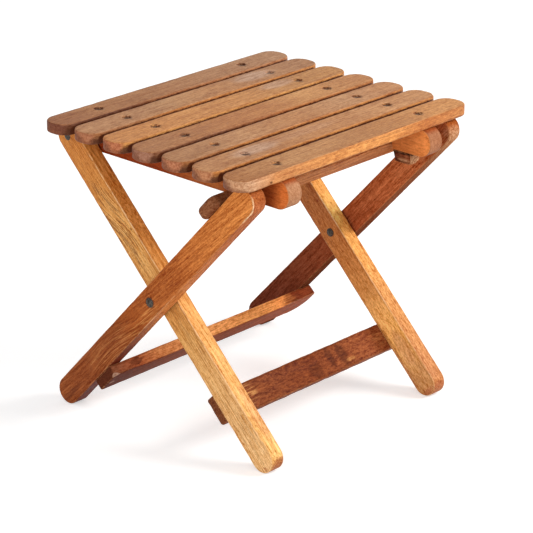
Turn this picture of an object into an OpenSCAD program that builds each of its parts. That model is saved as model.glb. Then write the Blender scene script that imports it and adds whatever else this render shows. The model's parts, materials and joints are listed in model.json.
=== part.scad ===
/* [Seat] */
// Length of a slat, across the stool
slat_l = 428; // [400:2:460]
// Width of a slat
slat_w = 44; // [40:0.5:46]
// Thickness of a slat
slat_t = 15; // [12:0.5:20]
// Open gap between two slats
slat_gap = 8.2; // [6:0.2:11]
// Corner radius at the ends of a slat
slat_end_r = 19; // [6:0.5:20]
// Radius of a slat's worn arrises
slat_arris = 2; // [1:0.25:4]
// Height of the seat's top face above the floor
seat_h = 400; // [380:5:430]

/* [Seat rails] */
// Depth of a rail below the slats
rail_h = 38; // [36:0.5:41]
// Thickness of a rail
rail_t = 24; // [20:0.5:26]
// Overhang of the rails' round noses beyond the front slat
nose_overhang = 9.9; // [4:0.1:14]
// Radius of a rail's arrises
rail_arris = 1.5; // [0.5:0.25:3]
// Side play between a rail and an inner leg, filled by a spacer
rail_gap = 2.8; // [2:0.1:5]

/* [Keeper block] */
// Width of the block under the right rail
keeper_w = 18; // [14:0.5:20]
// Height of the block
keeper_h = 14.5; // [12:0.5:18]
// Distance of the block's front end behind the tip of the rail's nose
keeper_setback = 32.5; // [28:0.5:36]
// Distance of the block's screw behind the block's front end
keeper_screw_inset = 12; // [9:0.5:14]

/* [Legs] */
// Width of a leg seen from the side, and the diameter of its round ends
leg_w = 36.5; // [34:0.5:37]
// Thickness of a leg
leg_t = 22; // [20:0.5:25]
// Radius of a leg's arrises
leg_arris = 1.5; // [0.5:0.25:3]
// Width over the outer pair of legs
frame_w = 390; // [370:2:394]
// Side play between an outer and an inner leg, filled by a spacer
leg_gap = 3; // [2.6:0.1:5]
// Top centre of the outer legs, behind the seat's front edge
outer_top_inset = 19.4; // [16:0.2:24]
// Top centre of the inner legs, ahead of the seat's back edge
inner_top_inset = 1.1; // [0:0.1:6]
// Foot centre of the outer legs, ahead of the seat's back edge
outer_foot_inset = 14.3; // [0:0.1:24]
// Foot centre of the inner legs, behind the seat's front edge
inner_foot_inset = 12.6; // [0:0.1:24]

/* [Cross members] */
// Width of the upper crossbar that the rails hook over
crossbar_w = 38.5; // [36:0.5:40]
// Thickness of the upper crossbar
crossbar_t = 16.5; // [14:0.5:18]
// Distance of the crossbar's top edge below the top centre of the outer legs
crossbar_drop = 32.8; // [32:0.1:34]
// How far each end of the crossbar stands out past the outer legs
crossbar_over = 9; // [4:1:14]
// Corner radius at the ends of the crossbar
crossbar_r = 12; // [10:0.5:14]
// Radius of the crossbar's well rounded arrises
crossbar_arris = 6; // [1:0.5:6]
// Width of the outer stretcher
outer_stretcher_w = 42; // [38:0.5:46]
// Thickness of the outer stretcher
outer_stretcher_t = 15; // [14:0.5:18]
// Distance of the outer stretcher's lower edge above the foot centre
outer_stretcher_up = 58; // [50:1:75]
// Radius of the outer stretcher's lower right corner
outer_stretcher_r = 30; // [10:1:31]
// Width of the inner stretcher
inner_stretcher_w = 38.5; // [36:0.5:46]
// Thickness of the inner stretcher
inner_stretcher_t = 14; // [13.5:0.5:18]
// Distance of the inner stretcher's lower edge above the foot centre
inner_stretcher_up = 65.5; // [50:0.5:75]
// Radius of the stretchers' other corners
stretcher_r = 4; // [3.5:0.5:8]
// Radius of the stretchers' arrises
stretcher_arris = 2; // [0.5:0.25:3]

/* [Pivots] */
// Diameter of a scissor rivet
rivet_d = 6.5; // [5.5:0.5:7]
// Diameter of a rivet's domed head
rivet_head_d = 13; // [12:0.5:16]
// Height of a rivet's domed head
rivet_head_h = 3.2; // [2.5:0.1:4.5]
// Diameter of a rivet's closed end
rivet_tail_d = 8.6; // [8.2:0.1:9.6]
// Height of a rivet's closed end
rivet_tail_h = 1.8; // [1.4:0.1:2.4]
// Diameter of the washer under a rivet's closed end
washer_d = 11.5; // [10.5:0.5:14]
// Thickness of that washer
washer_t = 1.2; // [0.8:0.1:1.6]
// Diameter of a seat bolt
bolt_d = 7; // [5:0.5:8]
// Diameter of a seat bolt's low head
bolt_head_d = 11; // [10:0.5:14]
// Height of a seat bolt's low head
bolt_head_h = 1.8; // [1.4:0.1:2]
// Width across the corners of a seat bolt's nut
nut_d = 12.7; // [11:0.1:14]
// Thickness of a seat bolt's nut
nut_h = 5.5; // [4:0.5:7]
// Length of a seat bolt beyond its nut
bolt_end = 1.8; // [1:0.1:4]
// Diameter of the spacers between the boards
spacer_d = 18; // [14:0.5:22]

/* [Screws and dowels] */
// Diameter of a screw head
screw_head_d = 9.2; // [7:0.1:9.6]
// Diameter of a screw shank
screw_d = 4.4; // [3.5:0.1:5]
// Diameter of a screw's blunt point
screw_point_d = 0.9; // [0.6:0.1:1.2]
// Diameter of the counterbore over a slat screw
slat_bore_d = 12; // [10:0.5:13]
// Depth of that counterbore, down to the screw head
slat_bore_depth = 2; // [1:0.25:3]
// Length of a slat screw
slat_screw_l = 33; // [28:0.5:35]
// Length of the keeper block's screw
keeper_screw_l = 30; // [24:0.5:34]
// Depth of the keeper screw's head below the wood
keeper_screw_sink = 0.6; // [0.2:0.1:1.2]
// Width of the slot in a screw head
slot_w = 1.2; // [0.8:0.1:1.6]
// Depth of the slot in a screw head
slot_depth = 1; // [0.6:0.1:1.2]
// Diameter of a hidden dowel
dowel_d = 8; // [6:0.5:10]
// Depth of a hidden dowel in each of the two boards that it joins
dowel_depth = 10; // [8:0.5:12]
// Distance between the two dowels of a joint
dowel_pitch = 18; // [14:0.5:18]
// Shift of the outer stretcher's dowels inwards, clear of its round corner
corner_dowel_in = 3; // [3:0.5:5]
// Shift of the outer stretcher's dowels upwards, clear of its round corner
corner_dowel_up = 2; // [2:0.5:4]

/* [Fits] */
// Running clearance around a pivot pin
pin_clear = 0.05; // [0.02:0.01:0.1]
// Clearance around screws, dowels and fixed pins
fixed_clear = 0.03; // [0.02:0.01:0.1]
// Gap between flat faces that slide on each other
face_clear = 0.1; // [0.05:0.05:0.3]
// Gap between the round leg tops and the slats above them
top_clear = 0.3; // [0.2:0.1:0.6]
// Gap between the crossbar and the notches that hold it
notch_clear = 0.6; // [0.4:0.1:1]

/* [Folding] */
// Degrees that the seat lifts for each degree that the legs fold
seat_ratio = 1; // [0.9:0.05:1.1]

/* [Hidden] */
$fn = 48;
// One node for each slat
slat_count = 7;

// Colours of oiled oak, old and new, and of dark steel
oak_tan = [0.62, 0.42, 0.26];
oak_gold = [0.76, 0.50, 0.22];
oak_red = [0.48, 0.23, 0.11];
oak_grey = [0.42, 0.32, 0.25];
dark_steel = [0.22, 0.22, 0.23];

// Distances across the stool, from its middle
outer_x = frame_w / 2 - leg_t;
inner_face_x = outer_x - leg_gap;
inner_x = inner_face_x - leg_t;
rail_face_x = inner_x - rail_gap;
rail_x = rail_face_x - rail_t;
screw_x = rail_x + rail_t / 2;

// Distances from front to back. The whole stool's middle is at zero
slat_pitch = slat_w + slat_gap;
seat_half = (slat_count * slat_pitch - slat_gap) / 2;
nose_reach = seat_half + nose_overhang;
tail_reach = seat_half - inner_top_inset + rail_h / 2;
seat_y = (nose_reach - tail_reach) / 2;
seat_front_y = seat_y - seat_half;
seat_back_y = seat_y + seat_half;
nose_tip_y = seat_y - nose_reach;

// Heights
slat_z = seat_h - slat_t;
rail_z = slat_z - rail_h;
rail_mid_z = slat_z - rail_h / 2;
foot_z = leg_w / 2;
top_z = slat_z - top_clear - leg_w / 2;

// Ends of the legs' centre lines, each as [distance back, height]
outer_foot = [seat_back_y - outer_foot_inset, foot_z];
outer_top = [seat_front_y + outer_top_inset, top_z];
inner_foot = [seat_front_y + inner_foot_inset, foot_z];
inner_top = [seat_back_y - inner_top_inset, top_z];
outer_dir = atan2(outer_top[1] - outer_foot[1], outer_top[0] - outer_foot[0]);
inner_dir = atan2(inner_top[1] - inner_foot[1], inner_top[0] - inner_foot[0]);
outer_len = norm(outer_top - outer_foot);
inner_len = norm(inner_top - inner_foot);

// The legs cross at the same share of their height, where the rivets go
cross_share = (outer_foot[0] - inner_foot[0])
    / (outer_foot[0] - outer_top[0] + inner_top[0] - inner_foot[0]);
scissor = outer_foot + cross_share * (outer_top - outer_foot);

// Place of the crossbar along the outer legs, from the foot centre
crossbar_top = outer_len - crossbar_drop;
crossbar_low = crossbar_top - crossbar_w;

// Turns a [back, height] point about a centre
function turned(p, centre, a) = centre + [
    (p[0] - centre[0]) * cos(a) - (p[1] - centre[1]) * sin(a),
    (p[0] - centre[0]) * sin(a) + (p[1] - centre[1]) * cos(a)
];
// Place of a point that is given along the outer leg and off its centre line
function on_outer(along, off) = turned(outer_foot + [along, off], outer_foot, outer_dir);
// Where a point of the outer frame lies, seen from the seat, when the legs have folded by a
function seen_from_seat(p, a) = turned(turned(p, scissor, a), inner_top, seat_ratio * a);

// Notch over the crossbar. Its front wall follows the crossbar's leading edge as the
// stool folds, and its roof and back wall lie along the crossbar at rest
lead_edge = on_outer(crossbar_top, -leg_w / 2);
fold_step = 1;
fold_end = 8;
notch_wall = [
    for (a = [0:fold_step:fold_end]) seen_from_seat(lead_edge, a) - [notch_clear, 0]
];
notch_roof = on_outer(crossbar_top + notch_clear, -leg_w / 2);
notch_back_off = -leg_w / 2 - crossbar_t - notch_clear;
notch_corner = on_outer(crossbar_top + notch_clear, notch_back_off);
notch_foot = on_outer(crossbar_low, notch_back_off);
notch_outline = concat([notch_foot, notch_corner, notch_roof], notch_wall);

// Keeper block
keeper_front_y = nose_tip_y + keeper_setback;
keeper_z = rail_z - keeper_h;
keeper_screw_y = keeper_front_y + keeper_screw_inset;

// Amount by which a cutting shape runs past the face that it cuts
past = 1;

// A profile drawn as [back, height], made solid from x0 to x1
module across(x0, x1) {
    translate([x0, 0, 0]) rotate([90, 0, 90]) linear_extrude(height = x1 - x0) children();
}

// A pin, hole or washer along X, from x0 to x1, with its axis at a [back, height] point
module round_x(p, x0, x1, d) {
    translate([x0, p[0], p[1]]) rotate([0, 90, 0]) cylinder(h = x1 - x0, d = d);
}

// The same shape on the left and on the right
module both_sides() {
    children();
    mirror([1, 0, 0]) children();
}

// Section of a board w wide and t thick with its arrises rounded by a, about its middle
module board_section(w, t, a) {
    square([w - 2 * a, t], center = true);
    square([w, t - 2 * a], center = true);
    for (x = [-1, 1], y = [-1, 1]) translate([x * (w / 2 - a), y * (t / 2 - a)]) circle(r = a);
}

// Disc with a rounded rim, which makes a round corner of a board
module board_corner(r, t, a) {
    rotate_extrude() intersection() {
        board_section(2 * r, t, a);
        translate([0, -t]) square([2 * r, 2 * t]);
    }
}

// Board l long on X, w wide on Y and t thick on Z, about its middle, with corner radius r
module board(l, w, t, r, a) {
    rotate([90, 0, 90]) linear_extrude(height = l - 2 * r, center = true) board_section(w, t, a);
    if (w > 2 * r)
        rotate([90, 0, 0]) linear_extrude(height = w - 2 * r, center = true)
            board_section(l, t, a);
    for (x = [-1, 1], y = w > 2 * r ? [-1, 1] : [0])
        translate([x * (l / 2 - r), y * (w / 2 - r), 0]) board_corner(r, t, a);
}

// Bar with round ends between two [back, height] centres, w wide and from x0 to x1
module round_bar(p, q, w, x0, x1, a) {
    translate([(x0 + x1) / 2, (p[0] + q[0]) / 2, (p[1] + q[1]) / 2])
        rotate([atan2(q[1] - p[1], q[0] - p[0]), 0, 0]) rotate([90, 0, 90])
        board(norm(q - p) + w, w, x1 - x0, w / 2, a);
}

// Places children on a leg: X across, Y along the leg, Z off its centre line
module on_leg(foot, dir) {
    translate([0, foot[0], foot[1]]) rotate([dir, 0, 0]) children();
}

// A countersunk screw pointing down from the origin, grown by g where it cuts its hole
module screw_body(l, g = 0) {
    head_h = (screw_head_d - screw_d) / 2;
    tip_h = screw_d;
    translate([0, 0, -head_h]) cylinder(h = head_h, r1 = screw_d / 2 + g, r2 = screw_head_d / 2 + g);
    translate([0, 0, tip_h - l]) cylinder(h = l - tip_h - head_h, r = screw_d / 2 + g);
    translate([0, 0, -l - g])
        cylinder(h = tip_h + g, r1 = screw_point_d / 2 + g, r2 = screw_d / 2 + g);
}
module screw(l) {
    difference() {
        screw_body(l);
        translate([-screw_head_d, -slot_w / 2, -slot_depth])
            cube([2 * screw_head_d, slot_w, slot_depth + past]);
    }
}

// Slats run across the stool, the first at the back
function slat_y(i) = seat_back_y - slat_w / 2 - (i - 1) * slat_pitch;
module at_slat_screws(i) {
    both_sides() translate([screw_x, slat_y(i), seat_h - slat_bore_depth]) children();
}
module seat_slat(i) {
    color(oak_tan) difference() {
        translate([0, slat_y(i), seat_h - slat_t / 2])
            board(slat_l, slat_w, slat_t, slat_end_r, slat_arris);
        at_slat_screws(i) {
            screw_body(slat_screw_l, fixed_clear);
            cylinder(h = slat_bore_depth + past, d = slat_bore_d);
        }
    }
}
module slat_screws() {
    color(dark_steel) for (i = [1:slat_count]) at_slat_screws(i) screw(slat_screw_l);
}

// Rails under the slats, with a notch for the crossbar and a bore for the seat bolt
module seat_rail() {
    difference() {
        round_bar([nose_tip_y + rail_h / 2, rail_mid_z], [inner_top[0], rail_mid_z], rail_h,
            rail_x, rail_face_x, rail_arris);
        across(rail_x - past, rail_face_x + past) polygon(notch_outline);
        round_x(inner_top, rail_x - past, rail_face_x + past, bolt_d + 2 * pin_clear);
        for (i = [1:slat_count]) translate([screw_x, slat_y(i), seat_h - slat_bore_depth])
            screw_body(slat_screw_l, fixed_clear);
    }
}
module seat_rail_left() { color(oak_red) mirror([1, 0, 0]) seat_rail(); }
module seat_rail_right() {
    color(oak_red) difference() {
        seat_rail();
        at_keeper_screw() screw_body(keeper_screw_l, fixed_clear);
    }
}

// Block under the right rail, in front of the crossbar
module at_keeper_screw() {
    translate([rail_x + keeper_w / 2, keeper_screw_y, keeper_z + keeper_screw_sink])
        rotate([180, 0, 0]) children();
}
module keeper_block() {
    color(oak_grey) difference() {
        across(rail_x, rail_x + keeper_w) difference() {
            translate([keeper_front_y, keeper_z])
                square([lead_edge[0] - keeper_front_y, keeper_h]);
            polygon(notch_outline);
        }
        at_keeper_screw() {
            screw_body(keeper_screw_l, fixed_clear);
            cylinder(h = keeper_screw_sink + past, r = screw_head_d / 2 + fixed_clear);
        }
    }
}
module keeper_screw() { color(dark_steel) at_keeper_screw() screw(keeper_screw_l); }

// Hidden dowels, in pairs, that hold a board to the edges of two legs
module at_dowels(x, mid) {
    for (side = [-1, 1], up = [-1, 1]) translate([side * x, mid + up * dowel_pitch / 2, 0]) children();
}
module dowel_row(x, mid, face, g = 0) {
    at_dowels(x, mid) translate([0, 0, face - dowel_depth - g])
        cylinder(h = 2 * (dowel_depth + g), r = dowel_d / 2 + g);
}
module crossbar_dowel_row(g = 0) {
    on_leg(outer_foot, outer_dir)
        dowel_row(outer_x + leg_t / 2, crossbar_top - crossbar_w / 2, -leg_w / 2, g);
}
module outer_stretcher_dowel_row(g = 0) {
    on_leg(outer_foot, outer_dir)
        dowel_row(outer_x + leg_t / 2 - corner_dowel_in,
            outer_stretcher_up + outer_stretcher_w / 2 + corner_dowel_up, leg_w / 2, g);
}
module inner_stretcher_dowel_row(g = 0) {
    on_leg(inner_foot, inner_dir)
        dowel_row(inner_x + leg_t / 2, inner_stretcher_up + inner_stretcher_w / 2, -leg_w / 2, g);
}
module crossbar_dowels() { color(oak_gold) crossbar_dowel_row(); }
module outer_stretcher_dowels() { color(oak_gold) outer_stretcher_dowel_row(); }
module inner_stretcher_dowels() { color(oak_gold) inner_stretcher_dowel_row(); }

// Outer frame
module outer_leg() {
    difference() {
        round_bar(outer_foot, outer_top, leg_w, outer_x, outer_x + leg_t, leg_arris);
        round_x(scissor, outer_x - past, outer_x + leg_t + past, rivet_d + 2 * pin_clear);
        crossbar_dowel_row(fixed_clear);
        outer_stretcher_dowel_row(fixed_clear);
    }
}
module outer_leg_left() { color(oak_red) mirror([1, 0, 0]) outer_leg(); }
module outer_leg_right() { color(oak_red) outer_leg(); }
module outer_crossbar() {
    color(oak_red) difference() {
        on_leg(outer_foot, outer_dir)
            translate([0, crossbar_top - crossbar_w / 2, -(leg_w + crossbar_t) / 2])
            board(frame_w + 2 * crossbar_over, crossbar_w, crossbar_t, crossbar_r, crossbar_arris);
        crossbar_dowel_row(fixed_clear);
    }
}
module outer_stretcher() {
    corner = [frame_w / 2 - outer_stretcher_r, outer_stretcher_r - outer_stretcher_w / 2, 0];
    color(oak_red) difference() {
        on_leg(outer_foot, outer_dir)
            translate([0, outer_stretcher_up + outer_stretcher_w / 2, (leg_w + outer_stretcher_t) / 2]) {
            difference() {
                board(frame_w, outer_stretcher_w, outer_stretcher_t, stretcher_r, stretcher_arris);
                translate(corner) corner_box();
            }
            translate(corner) intersection() {
                board_corner(outer_stretcher_r, outer_stretcher_t, stretcher_arris);
                corner_box();
            }
        }
        outer_stretcher_dowel_row(fixed_clear);
    }
}
module corner_box() {
    side = outer_stretcher_r + past;
    translate([0, -side, -outer_stretcher_t]) cube([side, side, 2 * outer_stretcher_t]);
}

// Inner frame
module inner_leg() {
    difference() {
        round_bar(inner_foot, inner_top, leg_w, inner_x, inner_face_x, leg_arris);
        round_x(scissor, inner_x - past, inner_face_x + past, rivet_d + 2 * fixed_clear);
        round_x(inner_top, inner_x - past, inner_face_x + past, bolt_d + 2 * fixed_clear);
        inner_stretcher_dowel_row(fixed_clear);
    }
}
module inner_leg_left() { color(oak_gold) mirror([1, 0, 0]) inner_leg(); }
module inner_leg_right() { color(oak_gold) inner_leg(); }
module inner_stretcher() {
    color(oak_grey) difference() {
        on_leg(inner_foot, inner_dir)
            translate([0, inner_stretcher_up + inner_stretcher_w / 2, -(leg_w + inner_stretcher_t) / 2])
            board(2 * inner_face_x, inner_stretcher_w, inner_stretcher_t, stretcher_r,
                stretcher_arris);
        inner_stretcher_dowel_row(fixed_clear);
    }
}

// Low dome on a flat base, standing along +Z from the origin
module dome(d, h) {
    ball_r = (d * d / 4 + h * h) / (2 * h);
    intersection() {
        cylinder(h = h, d = d);
        translate([0, 0, h - ball_r]) sphere(r = ball_r);
    }
}

// Scissor rivets: domed heads outside, closed over a washer inside
module scissor_rivet() {
    head_x = outer_x + leg_t + face_clear;
    tail_x = inner_x - washer_t;
    round_x(scissor, tail_x - rivet_tail_h / 2, head_x, rivet_d);
    translate([head_x, scissor[0], scissor[1]]) rotate([0, 90, 0]) dome(rivet_head_d, rivet_head_h);
    translate([tail_x, scissor[0], scissor[1]]) rotate([0, -90, 0]) dome(rivet_tail_d, rivet_tail_h);
}
module ring_x(p, x0, x1, d, bore) {
    difference() {
        round_x(p, x0, x1, d);
        round_x(p, x0 - past, x1 + past, bore);
    }
}
module scissor_rivets() { color(dark_steel) both_sides() scissor_rivet(); }
module scissor_spacers() {
    color(dark_steel) both_sides()
        ring_x(scissor, inner_face_x, outer_x - face_clear, spacer_d, rivet_d + 2 * fixed_clear);
}
module scissor_washers() {
    color(dark_steel) both_sides()
        ring_x(scissor, inner_x - washer_t, inner_x, washer_d, rivet_d + 2 * fixed_clear);
}

// Seat bolts at the tops of the inner legs
module seat_bolt() {
    end_x = rail_x - face_clear - nut_h - bolt_end;
    round_x(inner_top, end_x, inner_face_x + bolt_head_h / 2, bolt_d);
    translate([inner_face_x, inner_top[0], inner_top[1]])
        rotate([0, 90, 0]) dome(bolt_head_d, bolt_head_h);
}
module seat_bolts() { color(dark_steel) both_sides() seat_bolt(); }
module seat_spacers() {
    color(dark_steel) both_sides()
        ring_x(inner_top, rail_face_x + face_clear, inner_x, spacer_d, bolt_d + 2 * fixed_clear);
}
module seat_nuts() {
    color(dark_steel) both_sides() difference() {
        translate([rail_x - face_clear - nut_h, inner_top[0], inner_top[1]]) rotate([0, 90, 0])
            cylinder(h = nut_h, d = nut_d, $fn = 6);
        round_x(inner_top, rail_x - nut_h - 2 * past, rail_x, bolt_d + 2 * fixed_clear);
    }
}

seat_slat(1);  // seat_slat_1
seat_slat(2);  // seat_slat_2
seat_slat(3);  // seat_slat_3
seat_slat(4);  // seat_slat_4
seat_slat(5);  // seat_slat_5
seat_slat(6);  // seat_slat_6
seat_slat(7);  // seat_slat_7
slat_screws();
seat_rail_left();
seat_rail_right();
keeper_block();
keeper_screw();
outer_leg_left();
outer_leg_right();
outer_crossbar();
crossbar_dowels();
outer_stretcher();
outer_stretcher_dowels();
inner_leg_left();
inner_leg_right();
inner_stretcher();
inner_stretcher_dowels();
scissor_rivets();
scissor_spacers();
scissor_washers();
seat_bolts();
seat_spacers();
seat_nuts();
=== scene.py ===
"""Looks of the folding stool: worn oak boards, dark steel pins, studio floor and camera."""
import json
import math
from typing import NamedTuple

import bmesh
import bpy
from mathutils import Matrix, Vector, noise


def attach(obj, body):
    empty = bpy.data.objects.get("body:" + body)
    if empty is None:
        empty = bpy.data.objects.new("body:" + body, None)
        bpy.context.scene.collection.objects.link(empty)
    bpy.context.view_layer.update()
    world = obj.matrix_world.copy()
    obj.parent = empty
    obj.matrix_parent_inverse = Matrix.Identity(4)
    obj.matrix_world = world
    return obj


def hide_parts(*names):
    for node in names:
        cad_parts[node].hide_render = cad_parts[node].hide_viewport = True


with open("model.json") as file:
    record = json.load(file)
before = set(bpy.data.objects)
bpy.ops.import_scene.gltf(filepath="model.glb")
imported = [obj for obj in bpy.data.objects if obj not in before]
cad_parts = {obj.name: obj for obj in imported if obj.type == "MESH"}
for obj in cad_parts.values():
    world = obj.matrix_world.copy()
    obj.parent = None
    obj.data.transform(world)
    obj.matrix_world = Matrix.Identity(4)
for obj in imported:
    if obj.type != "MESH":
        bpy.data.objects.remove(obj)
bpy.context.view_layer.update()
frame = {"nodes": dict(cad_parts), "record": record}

NODES = frame["nodes"]
BODY_OF = {node: body for body, nodes in frame["record"]["behaviour"]["bodies"].items() for node in nodes}
MM = 0.001
WHITE = (1, 1, 1)

# Camera, as solved from the photo, then light and floor, in metres and degrees
CAMERA_PLACE = (-2.1565, -2.0444, 1.3656)
CAMERA_ELEVATION, CAMERA_AZIMUTH = 21.693, -46.802
LENS_MM, SENSOR_MM = 163.56, 36.0
SIGHT_REACH = 50.0
SKY_COLOUR, SKY_STRENGTH = (0.96, 0.98, 1.0), 0.50
LAMP_AIM = (0, 0, 0.25)
LAMP_WIDTH = 2.0
FLOOR_HALF = 14.0
FLOOR_COLOUR = (0.8, 0.8, 0.8)
SEEN_FLOOR_GLOW = 0.45

# Noise: waves per unit of length along, across and through, a seed of its own, detail, roughness.
# Oak is measured in millimetres
PATCH = ((0.012, 0.05, 0.05), 0, 3, 0.6)
MOTTLE = ((0.13, 0.34, 0.34), 31, 3, 0.62)
SPECK = ((0.34, 0.6, 0.6), 71, 2, 0.7)
DRIFT = ((0.008, 0.02, 0.02), 11, 2, 0.5)
STREAK = ((0.010, 0.33, 0.33), 57, 3, 0.7)
VEIN = ((0.009, 0.2, 0.2), 63, 2, 0.6)
FIBRE = ((0.05, 1.0, 1.0), 91, 2, 0.6)
PORE = ((0.08, 1.25, 1.25), 83, 1, 0.5)
THREAD = ((0.014, 0.32, 0.32), 47, 1, 0.5)
UNEVEN_RINGS = ((0.16, 1, 1), 5, 1, 0.5)
# Steel is measured in metres
GRIME = ((420, 420, 420), 3, 4, 0.6)
RUST = ((160, 160, 160), 8, 2, 0.5)
# How far each seed moves the noise, and where seed 0 starts
SEED_STEP, SEED_START = (17.31, 9.17, 5.73), (3.1, 1.7, 7.9)

# How much the parts of the grain lighten or darken the wood, and what keeps their mean near zero
STREAK_DEPTH, FIBRE_DEPTH, VEIN_DEPTH = 0.9, 0.5, 0.26
RINGS_MEAN, VEINS_MEAN = 0.35, 0.07
# Shares of red, green and blue that the darkest grain leaves, and that soil leaves
DARKEST = (0.12, 0.1, 0.1)
SOIL = (0.5, 0.38, 0.3)
RUST_COLOUR = (0.09, 0.03, 0.012)

# Edges of a mark, which is a stain, painted shade or painted glare, as shares of its radii: how ragged,
# where it starts and where it is full
MARK_EDGES = {
    "ragged": (1.0, 1.12, 0.8), "soft": (0.45, 1.25, 0.6), "crisp": (0.2, 1.07, 0.9),
    "rim": (1.0, 1.12, 0.8), "threads": (1.0, 1.12, 0.8),
}

# Worn copies: how finely they are cut along, across and through, how far from an arris nicks are
# full and where they end, all in mm, and how far each seed moves their noise
CUT_GAPS = (6.0, 9.0, 30.0)
NICKS_FULL, NICKS_END = 0.4, 3.4
NICK_SHIFT = (17.3, 5.1, 9.7)
TRODDEN_DEPTH = 6.0
SMOOTH_BELOW = math.radians(35)
# Distances in metres within which two points are one, and a point is on a cutting plane
SAME_POINT, ON_PLANE = 1e-6, 1e-7


def put_in_scene(name, data):
    """A new object with this data, linked to the scene."""
    thing = bpy.data.objects.new(name, data)
    bpy.context.scene.collection.objects.link(thing)
    return thing


def make_camera():
    data = bpy.data.cameras.new("camera")
    data.lens = LENS_MM
    data.sensor_width = SENSOR_MM
    data.clip_end = SIGHT_REACH
    camera = put_in_scene("camera", data)
    camera.location = CAMERA_PLACE
    camera.rotation_euler = (math.radians(90 - CAMERA_ELEVATION), 0, math.radians(CAMERA_AZIMUTH))
    bpy.context.scene.camera = camera


def area_light(name, place, watts, colour):
    data = bpy.data.lights.new(name, "AREA")
    data.shape = "DISK"
    data.size = LAMP_WIDTH
    data.energy = watts
    data.color = colour
    light = put_in_scene(name, data)
    light.location = place
    light.rotation_euler = (Vector(LAMP_AIM) - Vector(place)).to_track_quat("-Z", "Y").to_euler()


class Graph:
    """Short ways to add shader nodes. A value may be a number, a tuple or another node's output."""

    def __init__(self, tree):
        self.tree = tree
        tree.nodes.clear()

    def add(self, kind, inputs=None, **settings):
        """A node with these settings and with these values in its inputs, by name or by number."""
        node = self.tree.nodes.new("ShaderNode" + kind)
        for key, value in settings.items():
            setattr(node, key, value)
        for key, value in (inputs or {}).items():
            self.put(node.inputs[key], value)
        return node

    def put(self, socket, value):
        if isinstance(value, bpy.types.NodeSocket):
            self.tree.links.new(value, socket)
        elif value is not None:
            if socket.type == "RGBA" and len(value) == 3:
                value = (*value, 1)
            socket.default_value = value

    def surface(self, output, shader):
        self.add(output, {"Surface": shader.outputs[0]})

    def math(self, operation, a, b=None, c=None):
        return self.add("Math", {0: a, 1: b, 2: c}, operation=operation).outputs[0]

    def vector(self, operation, a, b=None, c=None):
        node = self.add("VectorMath", {0: a, 1: b, 2: c}, operation=operation)
        return node.outputs["Value" if operation in ("LENGTH", "DOT_PRODUCT") else "Vector"]

    def split(self, vector):
        return self.add("SeparateXYZ", {0: vector}).outputs[:]

    def join(self, x, y, z):
        return self.add("CombineXYZ", {0: x, 1: y, 2: z}).outputs[0]

    def field(self, place, kind, seed=0):
        """Noise from 0 to 1, of one of the kinds named above."""
        scale, own_seed, detail, roughness = kind
        shift = [(seed + own_seed) * step + start for step, start in zip(SEED_STEP, SEED_START)]
        place = self.vector("MULTIPLY_ADD", place, scale, shift)
        inputs = {"Vector": place, "Scale": 1.0, "Detail": detail, "Roughness": roughness}
        return self.add("TexNoise", inputs).outputs["Fac"]

    def step(self, value, low, high, to_low=0.0, to_high=1.0, kind="SMOOTHSTEP"):
        """From to_low to to_high while the value goes from low to high, which may be the smaller."""
        inputs = dict(enumerate((value, low, high, to_low, to_high)))
        return self.add("MapRange", inputs, interpolation_type=kind).outputs["Result"]

    def mix(self, factor, a, b, blend="MIX"):
        """Colour a with b mixed in."""
        inputs = {"Factor": factor, 6: a, 7: b}
        node = self.add("Mix", inputs, data_type="RGBA", blend_type=blend, clamp_result=False)
        return node.outputs[2]


def new_material(name):
    material = bpy.data.materials.new(name)
    material.use_nodes = True
    return material, Graph(material.node_tree)


def make_floor():
    """A pale floor that the camera sees as white, and that keeps the stool's shadow."""
    mesh = bpy.data.meshes.new("floor")
    corners = [(x * FLOOR_HALF, y * FLOOR_HALF, 0) for x, y in ((-1, -1), (1, -1), (1, 1), (-1, 1))]
    mesh.from_pydata(corners, [], [(0, 1, 2, 3)])
    floor = put_in_scene("floor", mesh)
    material, graph = new_material("floor_white")
    path = graph.add("LightPath").outputs
    seen = graph.math("MAXIMUM", path["Is Glossy Ray"], path["Is Transmission Ray"])
    seen = graph.math("MAXIMUM", path["Is Camera Ray"], seen)
    matt = graph.add("BsdfDiffuse", {"Color": FLOOR_COLOUR})
    strength = graph.math("MULTIPLY", seen, SEEN_FLOOR_GLOW)
    glow = graph.add("Emission", {"Color": WHITE, "Strength": strength})
    graph.surface("OutputMaterial", graph.add("AddShader", {0: matt.outputs[0], 1: glow.outputs[0]}))
    mesh.materials.append(material)


def make_world():
    """Soft light from all round, which the camera itself sees as plain white."""
    world = bpy.data.worlds.new("studio")
    bpy.context.scene.world = world
    world.use_nodes = True
    graph = Graph(world.node_tree)
    soft = graph.add("Background", {"Color": SKY_COLOUR, "Strength": SKY_STRENGTH})
    white = graph.add("Background", {"Color": WHITE, "Strength": 1.0})
    seen = graph.add("LightPath").outputs["Is Camera Ray"]
    pick = graph.add("MixShader", {0: seen, 1: soft.outputs[0], 2: white.outputs[0]})
    graph.surface("OutputWorld", pick)


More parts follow.
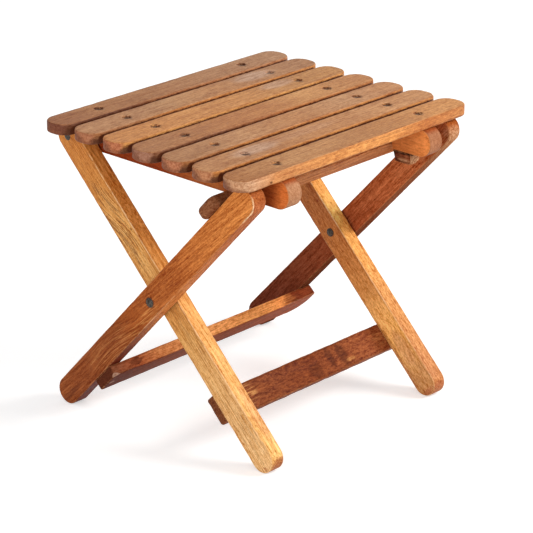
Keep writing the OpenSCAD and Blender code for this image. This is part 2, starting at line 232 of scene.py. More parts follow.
class Board:
    """A board's middle, half sizes in mm, and axes along it, across it and through it."""

    def __init__(self, node, run, tilt, corner):
        """run says that its length lies "across" the stool or "along" the tilt, in degrees above +Y."""
        angle = math.radians(tilt)
        x = Vector((1, 0, 0))
        up = Vector((0, math.cos(angle), math.sin(angle)))
        side = Vector((0, -math.sin(angle), math.cos(angle)))
        self.axes = (x, up, side) if run == "across" else (up, side, x)
        self.turn = Matrix(self.axes).transposed()
        self.corner = corner
        self.half = []
        self.middle = Vector()
        for axis in self.axes:
            reach = [vertex.co.dot(axis) for vertex in NODES[node].data.vertices]
            self.half.append((max(reach) - min(reach)) / 2 / MM)
            self.middle += axis * (max(reach) + min(reach)) / 2

    def local(self, point):
        """A point's place on the board in millimetres."""
        return (Matrix(self.axes) @ (point - self.middle)) / MM

    def place(self, graph):
        """The same as a shader value."""
        return graph.add("Mapping", {
            "Vector": graph.add("TexCoord").outputs["Object"],
            "Location": self.middle,
            "Rotation": self.turn.to_euler(),
            "Scale": (MM, MM, MM),
        }, vector_type="TEXTURE").outputs[0]

    def arris_at(self, p):
        """Millimetres along the surface from the nearest arris to the local point p."""
        beyond_x = abs(p.x) - self.half[0] + self.corner
        beyond_y = abs(p.y) - self.half[1] + self.corner
        far = math.hypot(max(beyond_x, 0), max(beyond_y, 0))
        near = min(max(beyond_x, beyond_y), 0)
        return max(self.corner - far - near, self.half[2] - abs(p.z))

    def arris(self, graph, x, y, z):
        """The same as a shader value."""
        beyond_x = graph.math("SUBTRACT", graph.math("ABSOLUTE", x), self.half[0] - self.corner)
        beyond_y = graph.math("SUBTRACT", graph.math("ABSOLUTE", y), self.half[1] - self.corner)
        far = graph.join(graph.math("MAXIMUM", beyond_x, 0.0), graph.math("MAXIMUM", beyond_y, 0.0), 0.0)
        far = graph.vector("LENGTH", far)
        near = graph.math("MINIMUM", graph.math("MAXIMUM", beyond_x, beyond_y), 0.0)
        outline = graph.math("SUBTRACT", self.corner, graph.math("ADD", far, near))
        through = graph.math("SUBTRACT", self.half[2], graph.math("ABSOLUTE", z))
        return graph.math("MAXIMUM", outline, through)


class Mark(NamedTuple):
    """A stain, painted shade or painted glare with an ellipsoid's outline, placed and measured in mm from
    the board's middle.

    Its kind is one of MARK_EDGES: "rim" keeps to the arrises, and "threads" are thin lines along
    the grain.
    """
    colour: tuple
    amount: float
    centre: tuple
    radii: tuple
    kind: str = "ragged"


class Chip(NamedTuple):
    """A corner cut off a board: the signs of its place on the axes, and the mm cut off along each."""
    signs: tuple
    size: tuple

    def normal(self):
        return Vector([sign / size for sign, size in zip(self.signs, self.size)])


class Oak:
    """The oak of one board: growth rings cut by the board, grain, pores, stains, painted shade and glare,
    worn arrises.
    """

    def __init__(self, node, board, look, seed):
        self.material, self.graph = new_material("oak_" + node)
        self.board = board
        self.look = look
        self.seed = seed
        self.place = board.place(self.graph)
        self.x, self.y, self.z = self.graph.split(self.place)
        self.facing = self.graph.add("TexCoord").outputs["Normal"]
        self.patch = self.field(self.place, PATCH)
        self.mottle = self.field(self.place, MOTTLE)
        self.speck = self.field(self.place, SPECK)
        self.drift = self.field(self.place, DRIFT)
        self.across = self.place_across_grain()
        self.grain = self.graph.join(self.x, self.across, self.z)
        self.streak = self.field(self.grain, STREAK)
        self.late = self.late_wood()
        ragged_rim = self.graph.math("MULTIPLY_ADD", self.mottle, 3.0, -1.5)
        self.rim = self.graph.math("ADD", board.arris(self.graph, self.x, self.y, self.z), ragged_rim)
        self.finish()

    def field(self, place, kind):
        return self.graph.field(place, kind, self.seed)

    def place_across_grain(self):
        """The grain slants and swerves where the look says, and wanders a little everywhere."""
        graph, look = self.graph, self.look
        across = graph.math("MULTIPLY_ADD", self.x, -look["slope"], self.y)
        for start, end, shift in look["flow"]:
            across = graph.math("ADD", across, graph.step(self.x, start, end, 0.0, shift))
        return graph.math("MULTIPLY_ADD", self.drift, look["wander"], across)

    def late_wood(self):
        """The growth rings' dark bands, about a pith line that runs roughly along the board."""
        graph, look = self.graph, self.look
        (lean_y, lean_z), (pith_y, pith_z) = look["lean"], look["pith"]
        off_y = graph.math("SUBTRACT", graph.math("MULTIPLY_ADD", self.x, lean_y, self.across), pith_y)
        off_z = graph.math("SUBTRACT", graph.math("MULTIPLY_ADD", self.x, lean_z, self.z), pith_z)
        radius = graph.vector("LENGTH", graph.join(off_y, off_z, 0.0))
        radius = graph.math("MULTIPLY_ADD", self.drift, look["wander"] * 3, radius)
        uneven = self.field(graph.join(radius, 0.0, 0.0), UNEVEN_RINGS)
        phase = graph.math("FRACT", graph.math("ADD", graph.math("DIVIDE", radius, look["ring"]), uneven))
        late = graph.math("MULTIPLY", graph.step(phase, 0.2, 0.8), graph.step(phase, 0.88, 1.0, 1.0, 0.0))
        return graph.math("MULTIPLY", late, graph.step(self.patch, 0.3, 0.7, 0.5, 1.2))

    def tone(self):
        """How much lighter or darker than the ground the wood is, about zero on average."""
        graph, look = self.graph, self.look
        vein = graph.math("ABSOLUTE", graph.math("SUBTRACT", self.field(self.grain, VEIN), 0.5))
        vein = graph.step(vein, 0.0, 0.07, 1.0, 0.0)
        mean = RINGS_MEAN * look["ring_much"] + VEINS_MEAN * look["vein_much"]
        tone = graph.math("MULTIPLY_ADD", self.late, -look["ring_much"], mean)
        tone = graph.math("MULTIPLY_ADD", vein, -VEIN_DEPTH * look["vein_much"], tone)
        for field, much in (
            (self.streak, STREAK_DEPTH * look["line_much"]),
            (self.field(self.grain, FIBRE), FIBRE_DEPTH * look["line_much"]),
            (self.patch, look["blotch_much"]),
            (self.mottle, look["mottle_much"]),
            (self.speck, look["speck_much"]),
        ):
            tone = graph.math("MULTIPLY_ADD", graph.math("SUBTRACT", field, 0.5), much, tone)
        return tone

    def along(self, x, colours):
        """A colour, or colours that run into each other along the board."""
        if not isinstance(colours[0], tuple):
            return colours
        (place, colour), *others = colours
        for next_place, next_colour in others:
            share = self.graph.step(x, place, next_place, kind="LINEAR")
            colour = self.graph.mix(share, colour, next_colour)
            place = next_place
        return colour

    def ground(self):
        """The wood's own colour, face by face."""
        graph = self.graph
        ragged_x = graph.math("ADD", graph.math("MULTIPLY_ADD", self.patch, 60.0, -30.0), self.x)
        ground = self.along(ragged_x, self.look["ground"])
        for face, colours in self.look["faces"].items():
            sign = -1 if face[0] == "-" else 1
            toward = graph.vector("DOT_PRODUCT", self.facing, self.board.axes["xyz".index(face[1])])
            share = graph.step(toward, 0.45 * sign, 0.8 * sign)
            ground = graph.mix(share, ground, self.along(ragged_x, colours))
        return ground

    def with_marks(self, ground):
        """The ground with the look's marks on it."""
        graph = self.graph
        ragged = graph.math("MULTIPLY_ADD", self.speck, 0.5, -0.65)
        ragged = graph.math("MULTIPLY_ADD", self.mottle, 0.8, ragged)
        thread = graph.math("ABSOLUTE", graph.math("SUBTRACT", self.field(self.grain, THREAD), 0.5))
        thread = graph.math("MULTIPLY_ADD", self.speck, 0.12, thread)
        only = {
            "rim": graph.step(self.rim, 1.9, 0.7),
            "threads": graph.step(thread, 0.085, 0.125, 1.0, 0.0),
        }
        for mark in self.look["marks"]:
            off = graph.vector("DIVIDE", graph.vector("SUBTRACT", self.place, mark.centre), mark.radii)
            raggedness, start, full = MARK_EDGES[mark.kind]
            off = graph.math("MULTIPLY_ADD", ragged, raggedness, graph.vector("LENGTH", off))
            mask = graph.step(off, start, full)
            if mark.kind in only:
                mask = graph.math("MULTIPLY", mask, only[mark.kind])
            ground = graph.mix(graph.math("MULTIPLY", mask, mark.amount), ground, mark.colour)
        return ground

    def chipped(self, ground):
        """The ground with bare wood where corners are cut off."""
        for chip in self.look["chips"]:
            normal = self.board.turn @ chip.normal().normalized()
            toward = self.graph.vector("DOT_PRODUCT", self.facing, normal)
            ground = self.graph.mix(self.graph.step(toward, 0.9, 0.96), ground, self.look["split"])
        return ground

    def soiled(self, colour, amount):
        return self.graph.mix(amount, colour, self.graph.mix(1.0, colour, SOIL, "MULTIPLY"))

    def finish(self):
        """Joins it all in a shader. The arrises have a rubbed bright line with dirt beside it."""
        graph, look = self.graph, self.look
        tone = self.tone()
        light = graph.vector("MULTIPLY_ADD", graph.join(tone, tone, tone), look["hue"], WHITE)
        light = graph.vector("MAXIMUM", light, DARKEST)
        colour = graph.mix(1.0, self.chipped(self.with_marks(self.ground())), light, "MULTIPLY")
        pore = graph.step(self.field(self.grain, PORE), 0.6, 0.7)
        colour = self.soiled(colour, graph.math("MULTIPLY", pore, look["pore_much"]))
        dirt = graph.step(self.patch, 0.35, 0.6, 0.2, 1.0)
        dirt = graph.math("MULTIPLY", graph.step(self.rim, 4.2, 1.8), dirt)
        colour = self.soiled(colour, graph.math("MULTIPLY", dirt, look["dirt_much"]))
        rubbed = graph.step(self.mottle, 0.4, 0.62, look["wear_much"], 0.0)
        rubbed = graph.math("MULTIPLY", graph.step(self.rim, 1.7, 0.5), rubbed)
        height = graph.math("SUBTRACT", graph.math("MULTIPLY", self.streak, 0.7), pore)
        height = graph.math("SUBTRACT", height, graph.math("MULTIPLY", self.late, 0.3))
        bump = graph.add("Bump", {"Strength": 0.6, "Distance": 0.35 * MM, "Height": height})
        rough = graph.math("ADD", self.patch, self.mottle)
        graph.surface("OutputMaterial", graph.add("BsdfPrincipled", {
            "Base Color": graph.mix(rubbed, colour, look["wear"]),
            "Roughness": graph.step(rough, 0.7, 1.3, look["rough"] - 0.1, look["rough"] + 0.12),
            "Specular IOR Level": look["gloss"],
            "Normal": bump.outputs[0],
        }))


def steel(name, dark, bright, metallic):
    """Dark steel with a brown patina."""
    material, graph = new_material(name)
    place = graph.add("TexCoord").outputs["Object"]
    grime = graph.field(place, GRIME)
    rust = graph.step(graph.field(place, RUST), 0.5, 0.65, 0.0, 0.5)
    colour = graph.mix(graph.step(grime, 0.35, 0.68), dark, bright)
    graph.surface("OutputMaterial", graph.add("BsdfPrincipled", {
        "Base Color": graph.mix(rust, colour, RUST_COLOUR),
        "Roughness": graph.step(grime, 0.3, 0.7, 0.3, 0.6),
        "Metallic": metallic,
    }))
    return material


def dress(piece, material):
    piece.data.materials.clear()
    piece.data.materials.append(material)


def ease(value, low, high):
    """From 0 to 1 while the value goes from low to high, smoothly."""
    share = min(max((value - low) / (high - low), 0), 1)
    return share * share * (3 - 2 * share)


def cut_plane(bm, place, normal, clear=False):
    """Cuts the mesh in two along a plane. With clear it keeps the back part alone and closes it."""
    whole = bm.verts[:] + bm.edges[:] + bm.faces[:]
    bmesh.ops.bisect_plane(
        bm, geom=whole, plane_co=place, plane_no=normal, dist=ON_PLANE, clear_outer=clear)
    if clear:
        bmesh.ops.holes_fill(bm, edges=[edge for edge in bm.edges if edge.is_boundary])


def dent_at(p, shift):
    """Depth of the nicks in mm: long shallow ones, and short deep ones here and there."""
    long_ones = max(noise.noise(p * 0.07 + shift), 0) * 1.1
    short_ones = max(noise.noise(p * 0.28 + shift) - 0.15, 0) * 1.5
    return long_ones + short_ones


def worn_copy(node, board, look, seed):
    """A copy of a board with nicked and rubbed arrises, which stands for the CAD piece."""
    bm = bmesh.new()
    bm.from_mesh(NODES[node].data)
    bmesh.ops.remove_doubles(bm, verts=bm.verts, dist=SAME_POINT)
    for axis, half, gap in zip(board.axes, board.half, CUT_GAPS):
        count = int(2 * half / gap)
        for n in range(1, count):
            cut_plane(bm, board.middle + axis * (2 * n / count - 1) * half * MM, axis)
    bm.normal_update()
    shift = Vector(NICK_SHIFT) * seed
    for vertex in bm.verts:
        p = board.local(vertex.co)
        near = 1 - ease(board.arris_at(p), NICKS_FULL, NICKS_END)
        if near > 0:
            vertex.co -= vertex.normal * near * dent_at(p, shift) * look["rub"] * MM
        if look["bend"]:
            vertex.co += board.turn @ look["bend"](p) * MM
    for chip in look["chips"]:
        corner = Vector([sign * half for sign, half in zip(chip.signs, board.half)])
        corner.x -= chip.signs[0] * chip.size[0]
        cut_plane(bm, board.middle + board.turn @ corner * MM, board.turn @ chip.normal(), clear=True)
    mesh = bpy.data.meshes.new(node + "_worn")
    bm.to_mesh(mesh)
    bm.free()
    mesh.shade_smooth()
    mesh.set_sharp_from_angle(angle=SMOOTH_BELOW)
    piece = put_in_scene(node + "_worn", mesh)
    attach(piece, BODY_OF[node])
    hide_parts(node)
    return piece


def trodden(p):
    """How the outer stretcher's front top arris is worn down between the legs by shoes, in mm."""
    between_legs = 1 - ease(abs(p.x), 125, 172)
    near_arris = ease(p.y, 2, 21) * ease(p.z, -9, 8)
    return Vector((0, -TRODDEN_DEPTH * between_legs * near_arris, 0))


# Every wooden node: how its length runs, its tilt and its corners' radius in mm. The order gives
# each one its seed
OUTER_TILT, INNER_TILT = 132.894, 45.389
LEG_CORNER = 18.25
WOOD = {f"seat_slat_{n}": ("across", 0, 19) for n in range(1, 8)}
WOOD.update({
    "seat_rail_left": ("along", 0, 19),
    "seat_rail_right": ("along", 0, 19),
    "keeper_block": ("along", 0, 2),
    "outer_leg_left": ("along", OUTER_TILT, LEG_CORNER),
    "outer_leg_right": ("along", OUTER_TILT, LEG_CORNER),
    "outer_crossbar": ("across", OUTER_TILT, 12),
    "outer_stretcher": ("across", OUTER_TILT, 4),
    "inner_leg_left": ("along", INNER_TILT, LEG_CORNER),
    "inner_leg_right": ("along", INNER_TILT, LEG_CORNER),
    "inner_stretcher": ("across", INNER_TILT, 4),
    "crossbar_dowels": ("across", OUTER_TILT, 2),
    "outer_stretcher_dowels": ("across", OUTER_TILT, 2),
    "inner_stretcher_dowels": ("across", INNER_TILT, 2),
})
BOARDS = {node: Board(node, *lie) for node, lie in WOOD.items()}

# Half sizes of a slat and of a leg, the screws' distance from the middle, and a reach past any end
SLAT_X, SLAT_Y, SLAT_Z = [round(half, 2) for half in BOARDS["seat_slat_1"].half]
LEG_Y, LEG_Z = [round(half, 2) for half in BOARDS["outer_leg_left"].half[1:]]
SCREW_X = round(BOARDS["seat_rail_right"].middle.x / MM, 2)
ALL = 10000.0

# What a board looks like unless its own entry says otherwise. The values are those of the slats.
# Colours are linear, and a list of (mm from the board's middle, colour) runs along the board. Each
# board's own "ground" is its colour where "faces" names none
PLAIN = {
    "faces": {},                    # colours of single faces: "+x" looks along the board's first axis
    "hue": (0.7, 1.05, 1.3),        # how far red, green and blue follow the lighter and darker grain
    "wear": (0.8, 0.42, 0.18),      # rubbed arrises
    "split": (0.5, 0.25, 0.12),     # bare wood where a corner is chipped off
    "ring": 5.0,                    # spacing of the growth rings in mm
    "pith": (70, 30),               # where their centre lies, across and through, in mm
    "lean": (0.01, 0.0),            # how much it leans as it runs along the board
    "wander": 5.0,                  # how far the grain wanders, in mm
    "slope": 0.0,                   # the grain's slant
    "flow": (),                     # where the grain swerves: (from, to, mm across)
    "ring_much": 0.08,              # how much each of these shows
    "line_much": 1.0,
    "vein_much": 0.5,
    "blotch_much": 0.8,
    "mottle_much": 1.3,
    "speck_much": 0.9,
    "pore_much": 0.45,
    "wear_much": 0.0,
    "dirt_much": 0.25,
    "rough": 0.5,                   # the shader's mean roughness
    "gloss": 0.12,                  # its specular level
    "marks": (),                    # stains, painted shade and painted glare
    "rub": 0.5,                     # how deep the arrises are nicked, or 0 to keep the CAD piece
    "chips": (),                    # corners cut off
    "bend": None,                   # a function that moves the surface
}
# Painted shade, with some dirt, in the screw holes and the gaps, on the slats' rear sides and at the
# corner and foot of their ends; the slats' undersides; a painted grey glare on slat tops; and a pale
# arris line, partly wear and partly painted highlight, on several boards
RECESS_SHADE_AND_DIRT = (0.075, 0.02, 0.008)
GAP_SHADE_AND_DIRT, GAP_DEEP_SHADE_AND_DIRT = (0.11, 0.034, 0.014), (0.085, 0.02, 0.006)
SLAT_REAR_SHADE_AND_DIRT = (0.2, 0.07, 0.028)
SLAT_CORNER_SHADE = (0.17, 0.05, 0.022)
SLAT_END_FOOT_SHADE_AND_DIRT = (0.24, 0.08, 0.035)
SLAT_BELOW = (0.5, 0.2, 0.07)
# Painted pale grey glare on the slat tops
PAINTED_GREY_GLARE = (0.6, 0.4, 0.3)
# Pale arris line on the legs: partly rubbed wood, partly painted highlight
PALE_RUB_AND_HIGHLIGHT = (1.0, 0.66, 0.38)


def slat(top, edge=(0.6, 0.23, 0.06), end=(0.42, 0.16, 0.075), marks=(), front=False, back=False):
    """A seat slat: tan top, orange front edge with painted gap shade and dirt along its lower part, brown
    end grain with painted shade at its rear corner and foot, screw holes darkened with painted shade and
    dirt.
    """
    # Painted shade, with some dirt, in and around each screw hole
    shared = [Mark(RECESS_SHADE_AND_DIRT, 0.85, (x, 0, SLAT_Z), (6.3, 6.3, 9.0)) for x in (-SCREW_X, SCREW_X)]
    shared += [
        # Painted gap shade, with a dark dirty arris, along the rear top arris
        Mark(SLAT_REAR_SHADE_AND_DIRT, 0.6, (0, SLAT_Y, SLAT_Z), (ALL, 2.4, 2.4), "soft"),
        # Painted shade where the end's rounding turns to the rear, into the gap
        Mark(SLAT_CORNER_SHADE, 0.75, (-SLAT_X + 2, 10, -4), (14, 14, 10), "soft"),
        # Painted contact shade, with some dirt, along the lower part of the end
        Mark(SLAT_END_FOOT_SHADE_AND_DIRT, 0.6, (-SLAT_X, 0, -SLAT_Z - 1), (14, ALL, 6), "soft"),
    ]
    # Painted shade, with some dirt, on the lower part of the front edge, down in the gap before the next
    # slat
    if not front:
        shared += [
            Mark(GAP_SHADE_AND_DIRT, 0.95, (0, -SLAT_Y, -SLAT_Z), (ALL, 8, 11.5), "soft"),
            Mark(GAP_DEEP_SHADE_AND_DIRT, 1.0, (0, -SLAT_Y, -SLAT_Z), (ALL, 1.5, 12.3), "crisp"),
        ]
    # The rear side of every slat but the back one is painted gap shade
    rear = edge if back else SLAT_REAR_SHADE_AND_DIRT
    return {"ground": top, "marks": (*shared, *marks),
            "faces": {"-y": edge, "+y": rear, "-x": end, "+x": end, "-z": SLAT_BELOW}}


# Kinds of wood
RED = {"ground": (0.42, 0.11, 0.025), "hue": (0.85, 1.25, 1.6), "ring": 2.9, "ring_much": 0.2,
       "pith": (30, -90), "lean": (0.03, 0.03), "wander": 3.0, "wear": (0.7, 0.32, 0.13),
       "wear_much": 0.35, "dirt_much": 0.3, "line_much": 1.5, "vein_much": 1.1, "mottle_much": 0.8,
       "speck_much": 1.1, "pore_much": 0.6, "gloss": 0.04}
GOLD = {"ground": (0.62, 0.26, 0.07), "hue": (0.7, 1.15, 1.8), "ring": 2.6, "ring_much": 0.22,
        "pith": (90, 20), "wander": 3.0, "wear": (0.95, 0.6, 0.3), "wear_much": 0.6,
        "dirt_much": 0.3, "line_much": 1.5, "vein_much": 1.3, "mottle_much": 1.1, "blotch_much": 0.7,
        "speck_much": 1.1, "pore_much": 0.7}
RAIL = {**RED, "ground": (0.36, 0.08, 0.02), "ring_much": 0.06, "line_much": 0.5, "vein_much": 0.2,
        "speck_much": 0.6, "mottle_much": 0.9, "rub": 0}
OUTER_LEG = {**RED, "rub": 0.3}
INNER_LEG = {**GOLD, "rub": 0.3}
DOWEL = {**GOLD, "rub": 0}

# The slats from back to front, the rails, then each pair of legs with its cross boards
LOOKS = {
    # the back slat: greyish brown, darkest at its left end
    "seat_slat_1": slat(
        ((-190, (0.37, 0.155, 0.073)), (-120, (0.44, 0.2, 0.09)), (0, (0.45, 0.21, 0.1)),
         (190, (0.5, 0.265, 0.143))),
        edge=((-120, (0.17, 0.06, 0.03)), (-30, (0.42, 0.16, 0.06)), (120, (0.5, 0.2, 0.08))),
        end=(0.19, 0.06, 0.03), back=True),
    # tan, with a painted pale grey glare on the right
    "seat_slat_2": slat(
        ((-150, (0.5, 0.245, 0.12)), (-60, (0.54, 0.28, 0.135)), (20, (0.55, 0.26, 0.115)),
         (180, (0.455, 0.225, 0.115))),
        edge=((-140, (0.4, 0.16, 0.06)), (-60, (0.62, 0.24, 0.065))),
        marks=(Mark(PAINTED_GREY_GLARE, 0.5, (105, 4, SLAT_Z), (38, 15, 6), "soft"),)),
    # more golden, with a painted pale grey glare on the right
    "seat_slat_3": slat(
        ((-150, (0.61, 0.265, 0.097)), (20, (0.61, 0.275, 0.103)), (120, (0.54, 0.255, 0.102))),
        edge=(0.68, 0.3, 0.085), end=(0.5, 0.17, 0.075),
        marks=(Mark(PAINTED_GREY_GLARE, 0.45, (100, 8, SLAT_Z), (32, 12, 6), "soft"),)),
    # brown on the left, golden on the right
    "seat_slat_4": slat(
        ((-180, (0.45, 0.205, 0.093)), (-50, (0.49, 0.205, 0.083)), (25, (0.56, 0.245, 0.096)),
         (90, (0.64, 0.31, 0.125)), (180, (0.58, 0.265, 0.11))),
        edge=((-100, (0.26, 0.1, 0.045)), (20, (0.5, 0.18, 0.055))), end=(0.36, 0.16, 0.095)),
    # tan, with a brown left end
    "seat_slat_5": slat(
        ((-170, (0.44, 0.21, 0.1)), (-90, (0.57, 0.29, 0.14)), (20, (0.53, 0.24, 0.103)),
         (110, (0.58, 0.3, 0.15)), (180, (0.57, 0.27, 0.125))),
        edge=((-170, (0.4, 0.15, 0.05)), (-100, (0.62, 0.24, 0.065))), end=(0.46, 0.17, 0.08)),
    # tan, with painted pale grey glare on the left and in the middle
    "seat_slat_6": slat(
        ((-150, (0.54, 0.26, 0.117)), (0, (0.53, 0.24, 0.102)), (110, (0.6, 0.29, 0.13))),
        end=(0.47, 0.19, 0.085),
        marks=(Mark(PAINTED_GREY_GLARE, 0.5, (-112, 3, SLAT_Z), (42, 14, 6), "soft"),
               Mark(PAINTED_GREY_GLARE, 0.15, (-20, 5, SLAT_Z), (60, 10, 6), "soft"))),
    # the front slat, whose long edge is seen: orange, with a crack, a dark spot, a stain and painted
    # shade at the back of its left end
    "seat_slat_7": slat(
        ((-190, (0.43, 0.18, 0.07)), (-110, (0.53, 0.255, 0.11)), (30, (0.53, 0.245, 0.1)),
         (150, (0.64, 0.29, 0.108))),
        edge=((-205, (0.62, 0.34, 0.19)), (-160, (0.61, 0.25, 0.085)), (-60, (0.7, 0.29, 0.085)),
              (60, (0.72, 0.29, 0.08)), (125, (0.52, 0.17, 0.045)), (190, (0.53, 0.2, 0.063))),
        end=(0.57, 0.29, 0.15), front=True,
        # The first mark is painted shade at the back of the left end
        marks=(Mark((0.17, 0.05, 0.022), 0.7, (-SLAT_X, 12, -6), (12, 9, 10), "soft"),
               Mark((0.25, 0.09, 0.035), 0.4, (60, -SLAT_Y, 3.2), (70, 3, 0.7)),
               Mark((0.1, 0.03, 0.01), 0.8, (-165, -SLAT_Y, -3.5), (2.2, 2, 1.6)),
               Mark((0.36, 0.12, 0.04), 0.6, (185, -SLAT_Y, -7), (22, 5, 3.5)))),
    # both rails: orange at the nose, dark under the seat
    "seat_rail_left": {**RAIL, "faces": {
        "-z": ((-185, (0.69, 0.18, 0.04)), (-150, (0.3, 0.06, 0.014)), (-60, (0.42, 0.12, 0.03)),
               (30, (0.27, 0.042, 0.008)), (150, (0.24, 0.036, 0.007))),
        "-x": (0.49, 0.23, 0.115)}},
    "seat_rail_right": {**RAIL, "faces": {
        "-z": ((-185, (0.84, 0.275, 0.07)), (-60, (0.42, 0.11, 0.03))),
        "-x": (0.42, 0.17, 0.08)}},
    # weathered brown, darker towards its back end, with painted shadow lines beside the rail and at its
    # back end
    "keeper_block": {
        **RED, "ground": ((-10, (0.3, 0.09, 0.035)), (8, (0.12, 0.03, 0.012))),
        "rub": 1.6, "chips": (Chip((-1, -1, 1), (4, 4, 9)), Chip((-1, -1, -1), (3, 3, 2.5))),
        "faces": {"-x": (0.55, 0.27, 0.13)}, "mottle_much": 1.8, "line_much": 2.4, "ring_much": 0.1,
        # The two near-black marks are painted shadow lines: along the top beside the rail, and across the
        # back end by the crossbar
        "marks": (Mark((0.03, 0.01, 0.005), 0.9, (0, 7.2, -9), (ALL, 2.6, 9)),
                  Mark((0.55, 0.28, 0.14), 0.6, (-4, -3, -9), (11, 2.2, 3)),
                  Mark((0.03, 0.01, 0.005), 0.9, (14.6, 0, -9), (3, 12, 12)))},
    # dark at the foot, orange at the top, with a pale rim around its top end that is partly rubbed wood
    # and partly painted highlight
    "outer_leg_left": {
        **OUTER_LEG, "ring_much": 0.1, "slope": 0.09, "flow": ((-190, -120, 7), (-110, -40, -6)),
        "faces": {
            "-z": ((-205, (0.3, 0.078, 0.022)), (-90, (0.26, 0.063, 0.016)), (-40, (0.33, 0.078, 0.016)),
                   (15, (0.43, 0.12, 0.027)), (90, (0.48, 0.135, 0.029)), (220, (0.61, 0.2, 0.045))),
            "+y": ((-150, (0.15, 0.021, 0.009)), (-95, (0.16, 0.03, 0.011)), (-50, (0.39, 0.11, 0.033)),
                   (-10, (0.66, 0.235, 0.066)), (90, (0.63, 0.205, 0.06)), (180, (0.49, 0.14, 0.045)))},
        "marks": (Mark((0.13, 0.03, 0.012), 0.75, (-2, 0, -LEG_Z), (8.5, 8, 4)),
                  Mark((0.13, 0.027, 0.01), 0.55, (-235, 6, -LEG_Z), (34, 4, 3), "soft"),
                  Mark((0.62, 0.25, 0.08), 0.36, (-118, 2, -LEG_Z), (60, 17, 3), "threads"),
                  Mark((0.75, 0.34, 0.1), 0.4, (-30, 11, -LEG_Z), (40, 8, 3), "threads"),
                  Mark((0.3, 0.07, 0.02), 0.3, (60, 2, -LEG_Z), (70, 15, 3), "threads"),
                  # The pale rim and arris line are partly rubbed wood and partly painted highlight
                  Mark(PALE_RUB_AND_HIGHLIGHT, 0.95, (240, LEG_Y, -LEG_Z), (24, 17, 6), "rim"),
                  Mark(PALE_RUB_AND_HIGHLIGHT, 0.4, (-10, LEG_Y, -LEG_Z), (60, 1.1, 1.1)))},
    # the far leg: dull dark red, lighter towards its top
    "outer_leg_right": {
        **OUTER_LEG, "ring_much": 0.08, "line_much": 1.0, "mottle_much": 1.4, "speck_much": 1.2,
        "gloss": 0.0,
        "faces": {
            "-z": ((-190, (0.185, 0.043, 0.021)), (-20, (0.33, 0.08, 0.03)), (110, (0.61, 0.165, 0.055)),
                   (210, (0.6, 0.185, 0.065))),
            "+y": ((-170, (0.14, 0.035, 0.014)), (60, (0.24, 0.075, 0.035)), (180, (0.34, 0.12, 0.055)),
                   (235, (0.55, 0.25, 0.12)))},
        "marks": (Mark((0.62, 0.33, 0.18), 0.5, (248, LEG_Y - 7, -2), (11, 10, 14), "soft"),)},
    # orange-brown, darker at its left end
    "outer_crossbar": {
        **RED,
        "ground": ((-200, (0.24, 0.085, 0.035)), (-130, (0.44, 0.16, 0.058)), (150, (0.6, 0.21, 0.068))),
        "mottle_much": 1.3},
    # dark, with an orange upper edge where shoes have worn it
    "outer_stretcher": {
        **RED, "line_much": 0.8, "vein_much": 0.3, "mottle_much": 1.5, "speck_much": 1.0, "gloss": 0.02,
        "split": (0.4, 0.22, 0.15), "chips": (Chip((-1, 1, 1), (10, 8, 6)),), "bend": trodden,
        "faces": {
            "+y": ((-190, (0.22, 0.07, 0.032)), (-140, (0.33, 0.078, 0.025)), (-100, (0.62, 0.23, 0.078)),
                   (0, (0.82, 0.34, 0.11)), (100, (0.95, 0.38, 0.11)), (130, (0.8, 0.28, 0.075)),
                   (162, (0.2, 0.035, 0.01))),
            "+z": ((-180, (0.11, 0.019, 0.007)), (-60, (0.24, 0.065, 0.03)), (150, (0.38, 0.1, 0.045))),
            "-x": (0.1, 0.024, 0.01)},
        "marks": (Mark((0.1, 0.022, 0.008), 0.7, (-150, 21, 0), (14, 6, 5)),
                  Mark((0.14, 0.03, 0.01), 0.3, (150, 21, 2), (20, 6, 5)),
                  Mark((0.42, 0.24, 0.16), 0.6, (-186, -3, 7.5), (5, 3, 3)))},
    # golden, palest at the foot, with bold figure above the rivet
    "inner_leg_left": {
        **INNER_LEG, "flow": ((80, 160, 18),), "slope": -0.02, "line_much": 1.2, "vein_much": 1.0,
        "faces": {
            "-z": ((-220, (0.85, 0.49, 0.205)), (-60, (0.64, 0.3, 0.08)), (90, (0.59, 0.24, 0.052)),
                   (220, (0.57, 0.205, 0.042))),
            "+y": ((-210, (0.88, 0.47, 0.15)), (-60, (0.9, 0.43, 0.13)), (10, (0.9, 0.39, 0.1)),
                   (70, (0.86, 0.32, 0.07)), (220, (0.72, 0.29, 0.065)))},
        # The two pale arris lines are partly rubbed wood and partly painted highlight
        "marks": (Mark(PALE_RUB_AND_HIGHLIGHT, 0.65, (-120, LEG_Y, -LEG_Z), (110, 1.35, 1.35)),
                  Mark(PALE_RUB_AND_HIGHLIGHT, 0.45, (90, LEG_Y, -LEG_Z), (80, 1.2, 1.2)),
                  Mark((0.95, 0.52, 0.17), 0.45, (90, 0, -LEG_Z), (70, 18, 3), "soft"),
                  Mark((0.2, 0.07, 0.016), 0.65, (105, -3, -LEG_Z), (75, 17, 3), "threads"),
                  Mark((0.3, 0.12, 0.035), 0.4, (-60, 4, -LEG_Z), (60, 12, 3), "threads"),
                  Mark((0.35, 0.16, 0.05), 0.35, (-190, 2, -LEG_Z), (70, 15, 3), "threads"),
                  Mark((0.4, 0.11, 0.035), 0.75, (-257, 0, 3), (9, 18, 14)),
                  Mark((0.75, 0.3, 0.12), 0.45, (-190, LEG_Y, 4), (40, 5, 8)))},
    # blotchy gold, brightest below the rivet, browner under the seat, with painted light on its upper
    # front edge where the rail's nose shades it
    "inner_leg_right": {
        **INNER_LEG, "line_much": 0.8, "vein_much": 0.5, "mottle_much": 1.8, "speck_much": 1.5,
        "ring_much": 0.08, "pore_much": 0.5,
        "faces": {
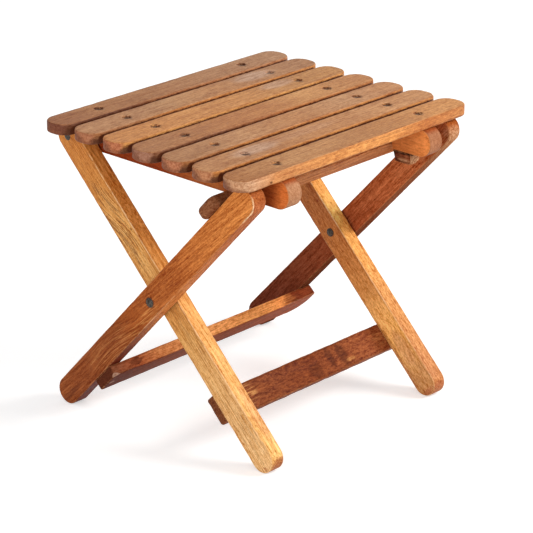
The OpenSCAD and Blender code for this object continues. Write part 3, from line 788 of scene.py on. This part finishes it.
            "-z": ((-228, (0.59, 0.265, 0.088)), (-180, (0.88, 0.43, 0.11)), (-140, (0.96, 0.47, 0.135)),
                   (-95, (0.7, 0.28, 0.072)), (-40, (0.59, 0.205, 0.048)), (30, (0.49, 0.157, 0.04)),
                   (160, (0.43, 0.145, 0.038))),
            "+y": ((-220, (0.62, 0.24, 0.08)), (-120, (0.78, 0.34, 0.1)), (-40, (0.92, 0.4, 0.096)),
                   # The pale stops around 20 mm are painted light, lifting the shadow that the right
                   # rail's nose casts on this edge
                   (0, (0.96, 0.46, 0.11)), (20, (0.99, 0.6, 0.15)), (45, (0.95, 0.44, 0.11)),
                   (80, (0.92, 0.37, 0.08)), (180, (0.92, 0.36, 0.08)))},
        # The two pale arris lines are partly rubbed wood and partly painted highlight
        "marks": (Mark(PALE_RUB_AND_HIGHLIGHT, 0.7, (20, LEG_Y, -LEG_Z), (38, 1.4, 1.4)),
                  Mark(PALE_RUB_AND_HIGHLIGHT, 0.4, (-110, LEG_Y, -LEG_Z), (80, 1.1, 1.1)),
                  Mark((0.3, 0.08, 0.025), 0.5, (140, LEG_Y, -LEG_Z), (55, 5, 5)),
                  Mark((0.42, 0.12, 0.045), 0.75, (-258, 2, 0), (9, 20, 14)),
                  Mark((0.6, 0.26, 0.12), 0.5, (-190, 2, -LEG_Z), (30, 12, 6), "soft"),
                  Mark((0.42, 0.14, 0.05), 0.5, (-190, -LEG_Y, -LEG_Z), (60, 7, 6)))},
    # dark and mottled, with pale scratches at both ends
    "inner_stretcher": {
        **RED,
        "ground": ((-150, (0.255, 0.07, 0.024)), (0, (0.2, 0.044, 0.013)), (150, (0.33, 0.092, 0.031))),
        "rub": 1.3, "chips": (Chip((1, 1, 1), (3, 4, 3)),),
        "faces": {"-x": (0.17, 0.05, 0.018)}, "line_much": 0.6, "vein_much": 0.4, "ring_much": 0.0,
        "mottle_much": 2.6, "speck_much": 1.9, "pore_much": 0.35, "hue": (0.8, 1.15, 1.2),
        "marks": (Mark((0.07, 0.014, 0.006), 0.6, (64, 0, 7), (9, 19, 4), "soft"),
                  Mark((0.07, 0.014, 0.006), 0.55, (42, 4, 7), (6, 16, 4), "soft"),
                  Mark((0.08, 0.016, 0.006), 0.5, (8, -6, 7), (12, 12, 4), "soft"),
                  Mark((0.5, 0.2, 0.06), 0.6, (74, -10, 7), (9, 3, 4)),
                  Mark((0.6, 0.27, 0.09), 0.75, (-128, 2, 7), (30, 18, 4), "threads"),
                  Mark((0.45, 0.18, 0.06), 0.55, (150, 0, 7), (24, 16, 4), "threads"),
                  Mark((0.6, 0.34, 0.16), 0.8, (162, 16, 7), (5, 5, 4)))},
}

# The studio, then the stool
make_camera()
make_world()
make_floor()
area_light("key", (2.3, -2.6, 2.4), 130, (1.0, 0.98, 0.95))
area_light("fill", (-3.0, -0.8, 1.2), 45, (1.0, 0.99, 0.97))
bpy.context.scene.view_settings.view_transform = "Standard"

for seed, (node, board) in enumerate(BOARDS.items()):
    look = {**PLAIN, **LOOKS.get(node, DOWEL)}
    piece = worn_copy(node, board, look, seed) if look["rub"] else NODES[node]
    dress(piece, Oak(node, board, look, seed + 1).material)

SCREW_STEEL = steel("steel_screw", dark=(0.05, 0.03, 0.02), bright=(0.32, 0.2, 0.14), metallic=0.2)
PIN_STEEL = steel("steel_pin", dark=(0.015, 0.012, 0.009), bright=(0.1, 0.08, 0.06), metallic=0.5)
for node in NODES:
    if node not in BOARDS:
        dress(NODES[node], SCREW_STEEL if "screw" in node else PIN_STEEL)
